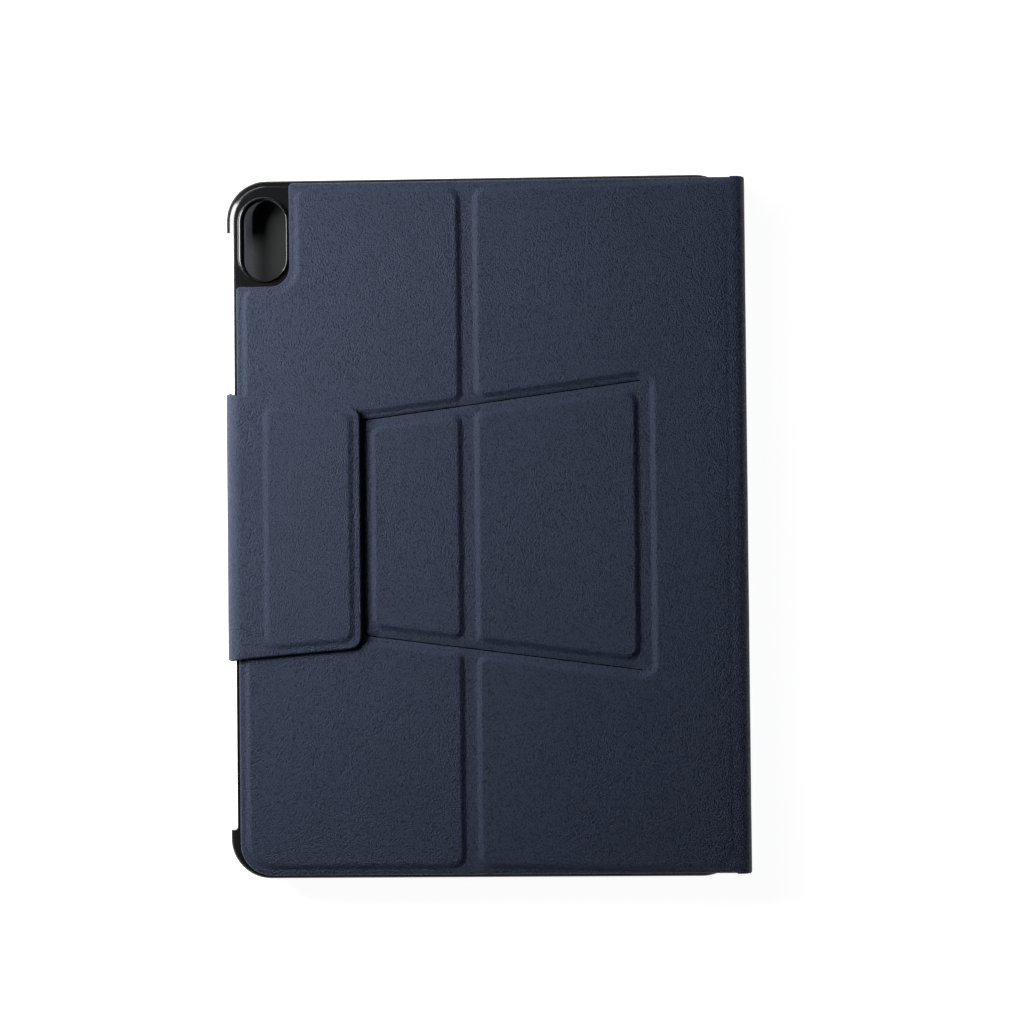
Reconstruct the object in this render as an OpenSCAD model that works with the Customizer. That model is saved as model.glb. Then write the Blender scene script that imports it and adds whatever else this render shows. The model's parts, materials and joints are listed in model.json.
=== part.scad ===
// Tablet keyboard case: a folio that holds a slate tablet in a hard tray over a thin keyboard.
// The folded case lies on the outer face of its keyboard cover. X runs along the long side,
// +Y is the spine, -Y the closure, and +Z goes up through the keyboard, the tablet bay and the
// hinged back. The origin is the middle of the outline on the face that the case lies on.

/* [Case] */
// Half the length of the covers along the spine
case_half_l = 127; // [126:0.5:130]
// Corner radius of the soft covers
cover_r = 5; // [3:0.5:8]
// Thickness of the outer skins
skin_t = 0.8; // [0.6:0.1:0.8]

/* [Keyboard] */
// Width of one key unit
key_unit = 15.8; // [15.2:0.1:15.8]
// Distance from one key row to the next
row_pitch = 17.2; // [16.4:0.1:17.4]
// Gap between neighbouring key caps
key_gap = 2.6; // [2:0.1:3.2]
// How far a key goes down
key_travel = 1.2; // [0.8:0.1:1.3]
// Length of the power slider's travel
switch_travel = 3; // [2:0.5:3]

/* [Tablet bay] */
// Length of the tablet that the tray holds
tablet_l = 247.6; // [246:0.1:247.8]
// Thickness of the tablet
tablet_t = 5.9; // [5.5:0.1:6]
// Clearance around the tablet
bay_clear = 0.6; // [0.4:0.1:0.7]
// Corner radius of the tray
tray_r = 14; // [11:0.5:16]
// Lip that holds the tablet's front edge
lip_w = 3; // [2:0.5:4]

/* [Stand] */
// Where the back folds across the middle
leg_fold_y = -6.5; // [-7:0.5:-5]
// Where the brace folds off the lower back
brace_fold_y = 57.1; // [56:0.1:60]
// Where the brace tip folds off the brace
tip_fold_y = -6.5; // [-7:0.5:-5]
// Half width of the brace tip at its free end
tip_half_w = 39; // [38:0.1:42]
// Free end of the brace tip
tip_end_y = -44.5; // [-45:0.5:-43]
// Width of the slits beside the brace
slit = 0.4; // [0.3:0.05:0.6]

/* [Closure] */
// Free edge of the closure flap
flap_end_y = -45.6; // [-48:0.1:-45.6]
// Half width of the flap at its free edge
flap_half_w = 43.5; // [40:0.5:46]
// Half width of the flap at the case's edge
flap_root_w = 48.7; // [46:0.1:52]

/* [Hidden] */
$fn = 48;
eps = 0.05;

// heights of the closed stack, from the table up
z_cover_board = skin_t;            // board on the cover's skin
z_cover_lining = z_cover_board + 1.2;
z_kb = z_cover_lining + 0.5;       // keyboard's bottom
z_kb_floor = z_kb + 0.8;
z_frame = z_kb + 2.9;              // underside of the keyboard's top frame
z_frame_top = z_frame + 1.2;
z_key = z_frame + 0.5;             // underside of the key caps
z_key_top = z_key + 1.5;
z_tray = 8.2;                      // tray's lip
z_bay = 9.0;                       // tablet's front
z_plate = z_bay + 6.1;             // tray's back plate
z_tray_top = 16.4;
z_leg = z_tray_top + 0.2;          // lining of what swings off the tray
z_board = 16.9;
z_pocket = 18.1;                   // top of the boards
z_back = z_pocket + skin_t;        // face of the raised panels
z_groove = 17.9;                   // face of the skin in the grooves
z_fold = 17.7;                     // height of the back's fold axes
z_flap = 19.1;
z_flap_board = 19.5;
z_flap_skin = 20.5;
z_flap_top = z_flap_skin + skin_t;

// edges
edge_y = 94.8;                     // outer faces of the spine and the closure
cover_y = 92.2;                    // the cover stops 1 mm short of its two fold axes
tablet_y0 = -91.3;
tablet_y1 = 87.2;
bay_x = tablet_l/2 + bay_clear;
bay_y0 = tablet_y0 - bay_clear;
bay_y1 = tablet_y1 + bay_clear;
tray_y0 = -94.4;
tray_y1 = 90.6;
back_x = 125;                      // the back's skin is a little smaller than the tray
leg_y0 = -89.6;
fold_gap = 1.0;                    // each side of a fold axis
groove_w = 3.0;                    // from a fold axis to the raised panel
kb_x = 121;
kb_y0 = -86;
kb_y1 = 87;
keys_x0 = -7.5*key_unit;
keys_y1 = 74;
fn_row_h = 10.5;

// outline of a rectangle with its own radius at each corner, from (x0,y0) round to (x0,y1)
function arc(cx, cy, r, a0, n = 8) = r <= 0 ? [[cx, cy]] :
  [for (i = [0:n]) [cx + r*cos(a0 + 90*i/n), cy + r*sin(a0 + 90*i/n)]];
function rect4(x0, y0, x1, y1, r) = concat(
  arc(x0 + r[0], y0 + r[0], r[0], 180), arc(x1 - r[1], y0 + r[1], r[1], 270),
  arc(x1 - r[2], y1 - r[2], r[2], 0), arc(x0 + r[3], y1 - r[3], r[3], 90));
// half width of the brace at y
function brace_w(y) = tip_half_w + (y - tip_end_y)*0.1327;

module plate(x0, y0, x1, y1, r, z0, z1)
  translate([0, 0, z0]) linear_extrude(z1 - z0) polygon(rect4(x0, y0, x1, y1, r));
module rod(x, y, d, z0, z1) translate([x, y, z0]) cylinder(d = d, h = z1 - z0);
// a strip of the brace's own taper, grown by g on each side
module taper(y0, y1, g, z0, z1)
  translate([0, 0, z0]) linear_extrude(z1 - z0)
    polygon([[-brace_w(y0) - g, y0], [brace_w(y0) + g, y0], [brace_w(y1) + g, y1], [-brace_w(y1) - g, y1]]);
// the corner that the camera window takes out of the back
module camera_notch(g, z0, z1)
  plate(-140, -110, -88.4 + g, -70.8 + g, [0, 0, 7, 0], z0, z1);

// ---------- cover and keyboard ----------
module cover_outer_skin() color([0.16, 0.19, 0.26])
  plate(-case_half_l, -cover_y, case_half_l, cover_y, [cover_r, cover_r, cover_r, cover_r], 0, z_cover_board);

module cover_stiffener_board() color([0.72, 0.66, 0.54])
  plate(-case_half_l + 2, -88, case_half_l - 2, 88, [3, 3, 3, 3], z_cover_board, z_cover_lining);

module cover_inner_lining() color([0.09, 0.09, 0.10])
  plate(-case_half_l + 1, -89.2, case_half_l - 1, 89.2, [4, 4, 4, 4], z_cover_lining, z_kb);

screws = [[-112, -80], [0, -82], [112, -80], [-112, 80.5], [0, 80.5], [76, 80.5]];
module port_space(g) translate([112 - g, 75.9 - g, 3.0 - g]) cube([20, 9.2 + 2*g, 3.1 + 2*g]);

module keyboard_bottom_housing() color([0.07, 0.07, 0.075]) difference() {
  plate(-kb_x, kb_y0, kb_x, kb_y1, [6, 6, 6, 6], z_kb, z_frame);
  plate(-kb_x + 1.5, kb_y0 + 1.5, kb_x - 1.5, kb_y1 - 1.5, [4.5, 4.5, 4.5, 4.5], z_kb_floor, z_frame + 1);
  for (s = screws) rod(s[0], s[1], 1.7, z_kb - 1, z_kb_floor + 1);
  for (s = screws) rod(s[0], s[1], 3.1, z_kb - 1, z_kb + 0.5);
  port_space(0.1);
}

module key_cut(x, w, y, h) translate([keys_x0 + x*key_unit + key_gap/2 - 0.35, y - h/2 - 0.35, z_frame - 1])
  cube([w*key_unit - key_gap + 0.7, h + 0.7, 4]);
// row centres, from the function row forward
function row_y(r) = r == 0 ? keys_y1 - fn_row_h/2 : keys_y1 - fn_row_h - row_pitch*(r - 0.5);
cap_h = row_pitch - key_gap;
half_h = (cap_h - 1.4)/2;
function keys_of(name) =
  name == "function_row_keys" ? [for (i = [0:14]) [i, 1, 0]] :
  name == "number_row_keys" ? [for (i = [0:12]) [i, 1, 1]] :
  name == "backspace_key" ? [[13, 2, 1]] :
  name == "tab_key" ? [[0, 1.5, 2]] :
  name == "upper_letter_keys" ? [for (i = [0:11]) [1.5 + i, 1, 2]] :
  name == "backslash_key" ? [[13.5, 1.5, 2]] :
  name == "caps_lock_key" ? [[0, 1.75, 3]] :
  name == "home_row_keys" ? [for (i = [0:10]) [1.75 + i, 1, 3]] :
  name == "return_key" ? [[12.75, 2.25, 3]] :
  name == "left_shift_key" ? [[0, 2.25, 4]] :
  name == "lower_letter_keys" ? [for (i = [0:9]) [2.25 + i, 1, 4]] :
  name == "right_shift_key" ? [[12.25, 2.75, 4]] :
  name == "left_modifier_keys" ? [[0, 1, 5], [1, 1, 5], [2, 1, 5], [3, 1.25, 5]] :
  name == "space_bar" ? [[4.25, 5.5, 5]] :
  name == "right_modifier_keys" ? [[9.75, 1.25, 5], [11, 1, 5]] : [];
key_nodes = ["function_row_keys", "number_row_keys", "backspace_key", "tab_key", "upper_letter_keys",
  "backslash_key", "caps_lock_key", "home_row_keys", "return_key", "left_shift_key",
  "lower_letter_keys", "right_shift_key", "left_modifier_keys", "space_bar", "right_modifier_keys"];
function cap_hh(r) = r == 0 ? fn_row_h - key_gap : cap_h;
arrow_y0 = row_y(5) - cap_h/2 + half_h/2;
arrow_y1 = row_y(5) + cap_h/2 - half_h/2;

module keyboard_top_frame() color([0.08, 0.08, 0.085]) difference() {
  union() {
    plate(-kb_x, kb_y0, kb_x, kb_y1, [6, 6, 6, 6], z_frame, z_frame_top);
    for (s = screws) rod(s[0], s[1], 4.2, z_kb_floor, z_frame + eps);
  }
  for (n = key_nodes) for (k = keys_of(n)) key_cut(k[0], k[1], row_y(k[2]), cap_hh(k[2]));
  for (k = [12, 14]) key_cut(k, 1, arrow_y0, half_h);
  key_cut(13, 1, row_y(5), cap_h);
  for (s = screws) rod(s[0], s[1], 1.5, z_kb_floor - 1, z_frame + 0.2);
  port_space(0.1);
  for (x = [98, 103, 108]) rod(x, 80.5, 1.6, z_frame - 1, z_frame_top + 1);
  plate(84, 79, 92, 82, [1, 1, 1, 1], z_frame - 1, z_frame_top + 1);
}

module key_cap(x, w, y, h) {
  x0 = keys_x0 + x*key_unit + key_gap/2;
  x1 = keys_x0 + (x + w)*key_unit - key_gap/2;
  plate(x0, y - h/2, x1, y + h/2, [1.2, 1.2, 1.2, 1.2], z_key, z_key_top - 0.4);
  plate(x0 + 0.4, y - h/2 + 0.4, x1 - 0.4, y + h/2 - 0.4, [1, 1, 1, 1], z_key_top - 0.5, z_key_top);
}
module key_group(name) color([0.11, 0.11, 0.115])
  for (k = keys_of(name)) key_cap(k[0], k[1], row_y(k[2]), cap_hh(k[2]));
module arrow_key(x, y) color([0.11, 0.11, 0.115]) key_cap(x, 1, y, half_h);

module function_row_keys() key_group("function_row_keys");
module number_row_keys() key_group("number_row_keys");
module backspace_key() key_group("backspace_key");
module tab_key() key_group("tab_key");
module upper_letter_keys() key_group("upper_letter_keys");
module backslash_key() key_group("backslash_key");
module caps_lock_key() key_group("caps_lock_key");
module home_row_keys() key_group("home_row_keys");
module return_key() key_group("return_key");
module left_shift_key() key_group("left_shift_key");
module lower_letter_keys() key_group("lower_letter_keys");
module right_shift_key() key_group("right_shift_key");
module left_modifier_keys() key_group("left_modifier_keys");
module space_bar() key_group("space_bar");
module right_modifier_keys() key_group("right_modifier_keys");
module arrow_left_key() arrow_key(12, arrow_y0);
module arrow_down_key() arrow_key(13, arrow_y0);
module arrow_right_key() arrow_key(14, arrow_y0);
module arrow_up_key() arrow_key(13, arrow_y1);

module keyboard_circuit_board() color([0.05, 0.22, 0.12]) difference() {
  plate(-116, -24, 116, 84, [2, 2, 2, 2], z_kb_floor, z_kb_floor + 0.6);
  for (s = screws) rod(s[0], s[1], 5.2, z_kb_floor - 1, z_kb_floor + 2);
  port_space(0.4);
}
module keyboard_membrane() color([0.75, 0.75, 0.72])
  plate(-118, -23.5, 118, 74.4, [1, 1, 1, 1], z_kb_floor + 0.6, z_kb_floor + 1.0);
module keyboard_batteries() color([0.55, 0.56, 0.58])
  for (x = [-62, 10]) plate(x, -76, x + 52, -40, [1.5, 1.5, 1.5, 1.5], z_kb_floor, z_kb_floor + 1.9);

module charging_port() color([0.62, 0.63, 0.65]) union() {
  difference() {
    translate([112, 75.9, 3.0]) cube([9, 9.2, 3.1]);
    translate([113, 76.3, 3.4]) cube([10, 8.4, 2.3]);
  }
  translate([112.5, 77.5, 4.2]) cube([7, 6, 0.7]);
}
module status_leds() color([0.85, 0.9, 0.85])
  for (x = [98, 103, 108]) rod(x, 80.5, 1.6, z_kb_floor + 0.6, z_frame_top);
module keyboard_screws() color([0.5, 0.5, 0.52])
  for (s = screws) { rod(s[0], s[1], 3, z_kb, z_kb + 0.5); rod(s[0], s[1], 1.5, z_kb + 0.4, z_frame - 0.3); }
module power_switch() color([0.16, 0.16, 0.17]) {
  plate(83, 77.5, 90, 83.5, [0.8, 0.8, 0.8, 0.8], z_kb_floor + 1.1, z_frame - 0.1);
  plate(84.4, 79.3, 88.4, 81.7, [0.8, 0.8, 0.8, 0.8], z_frame - 0.2, z_frame_top + 0.4);
}

// ---------- spine ----------
module spine_skin() color([0.13, 0.155, 0.21])
  translate([-case_half_l, edge_y - skin_t, 2.6]) cube([2*case_half_l, skin_t, 12.7]);
module spine_board() color([0.72, 0.66, 0.54])
  translate([-case_half_l + 2, edge_y - 2.0, 3.6]) cube([2*case_half_l - 4, 2.0 - skin_t, 10.7]);
module spine_lining() color([0.09, 0.09, 0.10])
  translate([-case_half_l + 1, edge_y - 2.5, 3.1]) cube([2*case_half_l - 2, 0.5, 11.7]);

// ---------- tablet tray ----------
cam = [-119.5, -87.7, -90.4, -72.8]; // the window's corners
// the outline of the tray, and what is left open of it at the closure side between the corner clips
module tray_ring(inset_r, bay_in, z0, z1) difference() {
  plate(-case_half_l, tray_y0, case_half_l, tray_y1, [tray_r, tray_r, tray_r, tray_r], z0, z1);
  plate(-bay_x + bay_in, bay_y0 + bay_in, bay_x - bay_in, bay_y1 - bay_in, [inset_r, inset_r, inset_r, inset_r], z0 - 1, z1 + 1);
  translate([-108, tray_y0 - 1, z0 - 1]) cube([217.2, 8, z1 - z0 + 2]);
}
module tray_back_plate() color([0.06, 0.06, 0.065]) difference() {
  union() {
    difference() {
      plate(-case_half_l, tray_y0, case_half_l, tray_y1, [tray_r, tray_r, tray_r, tray_r], z_plate, z_tray_top);
      translate([-108, tray_y0 - 1, z_plate - 1]) cube([217.2, 3.6, 4]);
    }
    plate(cam[0] - 1.5, cam[1] - 2.4, cam[2] + 0.9, cam[3] + 1.7, [9.4, 9.4, 9.4, 9.4], z_plate, z_tray_top + 1.2);
  }
  plate(cam[0], cam[1], cam[2], cam[3], [7.4, 7.4, 7.4, 7.4], z_plate - 1, z_tray_top + 3);
}
module end_slots(x) for (y = [-52, 32]) for (i = [0:4]) translate([x, y + 5*i, 11]) cube([10, 3, 2.2]);
// the wall at the tablet's head, with the cut-out for its power button and the speaker slots
module tray_head_wall() color([0.06, 0.06, 0.065]) difference() {
  intersection() {
    tray_ring(tray_r - 2.5, 0, z_bay, z_plate);
    translate([-140, -120, z_bay]) cube([28, 240, z_plate - z_bay]);
  }
  translate([-bay_x - 9, -78, 9.5]) cube([10, 18, 5.2]);
  end_slots(-bay_x - 9);
}
// the wall at the tablet's foot, with the cut-out for its charging plug and the speaker slots
module tray_foot_wall() color([0.06, 0.06, 0.065]) difference() {
  intersection() {
    tray_ring(tray_r - 2.5, 0, z_bay, z_plate);
    translate([112, -120, z_bay]) cube([28, 240, z_plate - z_bay]);
  }
  translate([bay_x - 1, -8.6, 9.5]) cube([10, 13, 5.2]);
  end_slots(bay_x - 1);
}
module tray_spine_wall() color([0.06, 0.06, 0.065])
  translate([-112, bay_y1, z_bay]) cube([224, tray_y1 - bay_y1, z_plate - z_bay]);
module tray_lip() color([0.06, 0.06, 0.065]) tray_ring(9, lip_w, z_tray, z_bay);

// ---------- back ----------
// A covered panel: skin over the whole outline, raised over its board. Children are the outline,
// the board's outline, and the thin zones at the folds.
module slot_cut(y0, y1, g, z0, z1) taper(y0, y1, g, z0, z1);

lb_y0 = leg_fold_y + fold_gap;
lb_p0 = leg_fold_y + groove_w;
module lower_back_board() color([0.72, 0.66, 0.54]) difference() {
  plate(-121.6, lb_p0 + 1, 121.6, 85.6, [2, 2, 4, 4], z_board, z_pocket);
  slot_cut(-20, brace_fold_y + 4, 4.3, z_board - 1, z_pocket + 1);
}
module lower_back_skin() color([0.18, 0.215, 0.30]) difference() {
  union() {
    plate(-back_x, lb_p0, back_x, 88, [0, 0, 4, 4], z_board, z_groove);
    plate(-122.6, lb_p0, 122.6, 86.6, [3, 3, 4, 4], z_board, z_back);
    translate([-back_x, lb_y0, 17.4]) cube([2*back_x, 5, z_groove - 17.4]);
    translate([-back_x, 80, 17.1]) cube([2*back_x, cover_y - 80, z_groove - 17.1]);
  }
  slot_cut(-20, brace_fold_y + fold_gap, slit, z_board - 1, z_back + 1);
  slot_cut(-20, brace_fold_y + 3, 3.3, z_groove, z_back + 1);
  slot_cut(-20, brace_fold_y + 3, 1.2, z_board - 1, 17.4);
  difference() {
    plate(-121.6, lb_p0 + 1, 121.6, 85.6, [2, 2, 4, 4], z_board - 1, z_pocket);
    slot_cut(-20, brace_fold_y + 4, 4.3, z_board - 2, z_pocket + 1);
  }
}
module lower_back_lining() color([0.09, 0.09, 0.10]) difference() {
  plate(-124, lb_p0, 124, 87.4, [0, 0, 4, 4], z_tray_top, z_board);
  slot_cut(-20, brace_fold_y + 3, 1.2, z_tray_top - 1, z_board + 1);
}

leg_y1 = leg_fold_y - fold_gap;
leg_p1 = leg_fold_y - groove_w;
leg_r = 11.5;                       // the leg's round corner, which follows the tray's
module leg_pocket(z0, z1) difference() {
  plate(-121.6, leg_y0 + 2, 121.6, leg_p1 - 1, [3, leg_r - 1.7, 2, 2], z0, z1);
  slot_cut(tip_end_y - 4.5, 20, 4.3, z0 - 1, z1 + 1);
  camera_notch(3.2, z0 - 1, z1 + 1);
}
steel = [-34, -64, 34, -50.5];
module leg_board() color([0.72, 0.66, 0.54]) difference() {
  leg_pocket(z_board, z_pocket);
  plate(steel[0], steel[1], steel[2], steel[3], [1, 1, 1, 1], z_pocket - 0.5, z_pocket + 1);
}
module leg_steel_plate() color([0.6, 0.61, 0.63])
  plate(steel[0], steel[1], steel[2], steel[3], [1, 1, 1, 1], z_pocket - 0.5, z_pocket);
module leg_skin() color([0.20, 0.235, 0.32]) difference() {
  union() {
    plate(-back_x, leg_y0, back_x, leg_p1, [4, leg_r, 0, 0], z_board, z_groove);
    difference() {
      plate(-122.6, leg_y0 + 1, 122.6, leg_p1, [4, leg_r - 1.5, 3, 3], z_board, z_back);
      camera_notch(2.2, z_groove, z_back + 1);
      slot_cut(tip_end_y - 3.5, 20, 3.3, z_groove, z_back + 1);
    }
    translate([-back_x, leg_y1 - 5, 17.4]) cube([2*back_x, 5, z_groove - 17.4]);
  }
  slot_cut(tip_end_y - 0.5, 20, slit, z_board - 1, z_back + 1);
  camera_notch(0, z_board - 1, z_back + 1);
  leg_pocket(z_board - 1, z_pocket);
}
module leg_lining() color([0.09, 0.09, 0.10]) difference() {
  plate(-124.4, leg_y0 + 0.6, 124.4, leg_p1, [4, leg_r - 0.6, 0, 0], z_leg, z_board);
  slot_cut(tip_end_y - 1.2, 20, 1.2, z_leg - 1, z_board + 1);
  camera_notch(0.6, z_leg - 1, z_board + 1);
}

// ---------- brace ----------
br_y0 = tip_fold_y + fold_gap;
br_y1 = brace_fold_y - fold_gap;
br_p0 = tip_fold_y + groove_w;
br_p1 = brace_fold_y - groove_w;
module brace_board() color([0.72, 0.66, 0.54]) taper(br_p0 + 1.8, br_p1 - 1.8, -4.6, z_board, z_pocket);
module brace_skin() color([0.175, 0.21, 0.29]) difference() {
  union() {
    taper(br_y0, br_y1, 0, z_board, z_groove);
    taper(br_p0, br_p1, -2.6, z_board, z_back);
  }
  taper(br_p0 + 1.8, br_p1 - 1.8, -4.6, z_board - 1, z_pocket);
  plate(-60, br_y0 - 1, 60, br_p0, [0, 0, 0, 0], z_board - 1, 17.5);
  plate(-60, br_p1, 60, br_y1 + 1, [0, 0, 0, 0], z_board - 1, 17.5);
}
module brace_lining() color([0.09, 0.09, 0.10]) taper(br_p0, br_p1, -0.6, z_leg, z_board);

tp_y1 = tip_fold_y - fold_gap;
tp_p1 = tip_fold_y - groove_w;
tip_mag = [-26, 0, 26];
module brace_tip_board() color([0.72, 0.66, 0.54]) difference() {
  taper(tip_end_y + 4.8, tp_p1 - 1.8, -4.6, z_board, z_pocket);
  for (x = tip_mag) rod(x, tip_end_y + 9.6, 9, z_pocket - 0.8, z_pocket + 1);
}
module brace_tip_magnets() color([0.7, 0.7, 0.72])
  for (x = tip_mag) rod(x, tip_end_y + 9.6, 9, z_pocket - 0.8, z_pocket);
module brace_tip_skin() color([0.19, 0.225, 0.31]) difference() {
  union() {
    taper(tip_end_y, tp_y1, 0, z_board, z_groove);
    taper(tip_end_y + 3, tp_p1, -2.6, z_board, z_back);
  }
  taper(tip_end_y + 4.8, tp_p1 - 1.8, -4.6, z_board - 1, z_pocket);
  plate(-60, tp_p1, 60, tp_y1 + 1, [0, 0, 0, 0], z_board - 1, 17.5);
}
module brace_tip_lining() color([0.09, 0.09, 0.10]) taper(tip_end_y + 0.6, tp_p1, -0.6, z_leg, z_board);

// ---------- closure ----------
flap_root_y = -cover_y;
function flap_w(y) = flap_root_w + (y - flap_root_y)*(flap_half_w - flap_root_w)/(flap_end_y - flap_root_y);
module flap_plate(g, y0, z0, z1) translate([0, 0, z0]) linear_extrude(z1 - z0) polygon(concat(
  [[-flap_w(y0) + g, y0], [flap_w(y0) - g, y0]],
  arc(flap_half_w - g - 5, flap_end_y - g - 5, 5, 0), arc(-flap_half_w + g + 5, flap_end_y - g - 5, 5, 90)));
module closure_flap_skin() color([0.21, 0.245, 0.34]) difference() {
  union() {
    flap_plate(0, flap_root_y, z_flap_board, z_flap_skin);
    flap_plate(2.2, flap_root_y + 3, z_flap_skin - eps, z_flap_top);
  }
  flap_plate(3.4, flap_root_y + 4.4, z_flap_board - 1, z_flap_skin);
}
flap_mag = [-24, 0, 24];
module closure_flap_board() color([0.72, 0.66, 0.54]) difference() {
  flap_plate(3.4, flap_root_y + 4.4, z_flap_board, z_flap_skin);
  for (x = flap_mag) rod(x, -57, 9, z_flap_board - 1, z_flap_board + 0.8);
}
module closure_flap_magnets() color([0.7, 0.7, 0.72])
  for (x = flap_mag) rod(x, -57, 9, z_flap_board, z_flap_board + 0.8);
module closure_flap_lining() color([0.09, 0.09, 0.10]) flap_plate(0.5, flap_root_y, z_flap, z_flap_board);
module closure_strip_skin() color([0.12, 0.14, 0.19])
  translate([-flap_root_w, -edge_y, 2.6]) cube([2*flap_root_w, skin_t, 16.1]);
module closure_strip_lining() color([0.09, 0.09, 0.10])
  translate([-flap_root_w + 0.5, -edge_y + skin_t, 2.6]) cube([2*flap_root_w - 1, 0.5, 16.1]);

cover_outer_skin();
cover_stiffener_board();
cover_inner_lining();
keyboard_bottom_housing();
keyboard_top_frame();
keyboard_membrane();
keyboard_circuit_board();
keyboard_batteries();
charging_port();
status_leds();
keyboard_screws();
power_switch();
function_row_keys();
number_row_keys();
backspace_key();
tab_key();
upper_letter_keys();
backslash_key();
caps_lock_key();
home_row_keys();
return_key();
left_shift_key();
lower_letter_keys();
right_shift_key();
left_modifier_keys();
space_bar();
right_modifier_keys();
arrow_left_key();
arrow_up_key();
arrow_down_key();
arrow_right_key();
spine_skin();
spine_board();
spine_lining();
tray_back_plate();
tray_head_wall();
tray_foot_wall();
tray_spine_wall();
tray_lip();
lower_back_skin();
lower_back_board();
lower_back_lining();
leg_skin();
leg_board();
leg_lining();
leg_steel_plate();
brace_skin();
brace_board();
brace_lining();
brace_tip_skin();
brace_tip_board();
brace_tip_lining();
brace_tip_magnets();
closure_strip_skin();
closure_strip_lining();
closure_flap_skin();
closure_flap_board();
closure_flap_lining();
closure_flap_magnets();
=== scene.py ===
import bpy
import bmesh
import math
import json
import numpy as np
from mathutils import Vector, Matrix, noise
from mathutils.geometry import delaunay_2d_cdt

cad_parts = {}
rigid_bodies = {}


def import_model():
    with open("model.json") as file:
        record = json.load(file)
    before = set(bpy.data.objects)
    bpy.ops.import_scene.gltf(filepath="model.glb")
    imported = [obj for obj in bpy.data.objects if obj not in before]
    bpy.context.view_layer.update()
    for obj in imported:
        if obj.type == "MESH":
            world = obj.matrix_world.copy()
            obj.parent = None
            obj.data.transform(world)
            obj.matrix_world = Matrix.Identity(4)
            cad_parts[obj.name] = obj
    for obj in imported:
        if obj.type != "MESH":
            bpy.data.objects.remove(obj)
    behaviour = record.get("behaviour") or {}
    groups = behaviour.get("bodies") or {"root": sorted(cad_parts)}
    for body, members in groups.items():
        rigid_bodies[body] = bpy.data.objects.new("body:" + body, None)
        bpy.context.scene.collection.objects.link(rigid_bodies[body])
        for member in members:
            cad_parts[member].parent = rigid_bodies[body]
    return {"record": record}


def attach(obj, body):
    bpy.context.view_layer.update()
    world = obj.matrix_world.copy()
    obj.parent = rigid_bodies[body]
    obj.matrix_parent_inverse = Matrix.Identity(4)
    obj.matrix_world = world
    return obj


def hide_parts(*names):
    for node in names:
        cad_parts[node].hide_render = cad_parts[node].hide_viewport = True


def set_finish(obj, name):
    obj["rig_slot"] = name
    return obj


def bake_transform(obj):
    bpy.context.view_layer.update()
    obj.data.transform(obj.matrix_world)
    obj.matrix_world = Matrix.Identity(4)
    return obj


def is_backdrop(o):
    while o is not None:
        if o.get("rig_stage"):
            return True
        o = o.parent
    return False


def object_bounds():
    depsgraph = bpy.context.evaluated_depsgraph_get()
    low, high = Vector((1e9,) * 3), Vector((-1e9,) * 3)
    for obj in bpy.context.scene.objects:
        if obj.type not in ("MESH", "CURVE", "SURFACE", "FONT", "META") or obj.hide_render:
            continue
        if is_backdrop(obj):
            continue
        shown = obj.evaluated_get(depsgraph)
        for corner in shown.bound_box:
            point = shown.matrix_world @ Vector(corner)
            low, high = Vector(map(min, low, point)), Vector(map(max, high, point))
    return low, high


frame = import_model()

CAD_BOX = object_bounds()
MM = 0.001
scene = bpy.context.scene

# ------------------------------------------------------------------ outlines
def rpoly(P, R, d=0.0, step=2.0, nc=8):
    """Closed outline of polygon P (counter-clockwise, mm) with corner radii R, inset by d.
    The number of points doesn't depend on d, so successive insets make rings."""
    n = len(P)
    P = [Vector(p) for p in P]
    lines = []
    for i in range(n):
        a, b = P[i], P[(i + 1) % n]
        t = (b - a).normalized()
        nrm = Vector((-t.y, t.x))
        lines.append((a + nrm * d, t))
    Q = []
    for i in range(n):
        (p1, t1), (p2, t2) = lines[i - 1], lines[i]
        c = t1.x * t2.y - t1.y * t2.x
        if abs(c) < 1e-9:
            Q.append(p2.copy())
        else:
            s = ((p2.x - p1.x) * t2.y - (p2.y - p1.y) * t2.x) / c
            Q.append(p1 + t1 * s)
    arcs = []
    for i in range(n):
        t1, t2 = lines[i - 1][1], lines[i][1]
        cr = t1.x * t2.y - t1.y * t2.x
        ang = math.atan2(cr, t1.dot(t2))
        r0 = R[i]
        r = max(0.03, r0 - d if cr > 0 else r0 + d)
        L = r * math.tan(abs(ang) / 2)
        s = 1 if cr > 0 else -1
        start = Q[i] - t1 * L
        centre = start + Vector((-t1.y, t1.x)) * (r * s)
        a0 = math.atan2(start.y - centre.y, start.x - centre.x)
        m = nc if r0 > 0.2 else 1
        arcs.append([(centre.x + r * math.cos(a0 + ang * k / m), centre.y + r * math.sin(a0 + ang * k / m)) for k in range(m + 1)])
    out = []
    for i in range(n):
        out += arcs[i]
        a, b = arcs[i][-1], arcs[(i + 1) % n][0]
        m = max(1, int(round((P[(i + 1) % n] - P[i]).length / step)))
        out += [(a[0] + (b[0] - a[0]) * k / m, a[1] + (b[1] - a[1]) * k / m) for k in range(1, m)]
    return out


def inside(poly, pts):
    poly, pts = np.asarray(poly), np.asarray(pts)
    x, y = pts[:, 0], pts[:, 1]
    r = np.zeros(len(pts), bool)
    x0, y0 = poly[-1]
    for x1, y1 in poly:
        if y0 != y1:
            c = ((y1 > y) != (y0 > y)) & (x < (x0 - x1) * (y - y1) / (y0 - y1) + x1)
            r ^= c
        x0, y0 = x1, y1
    return r


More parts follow.
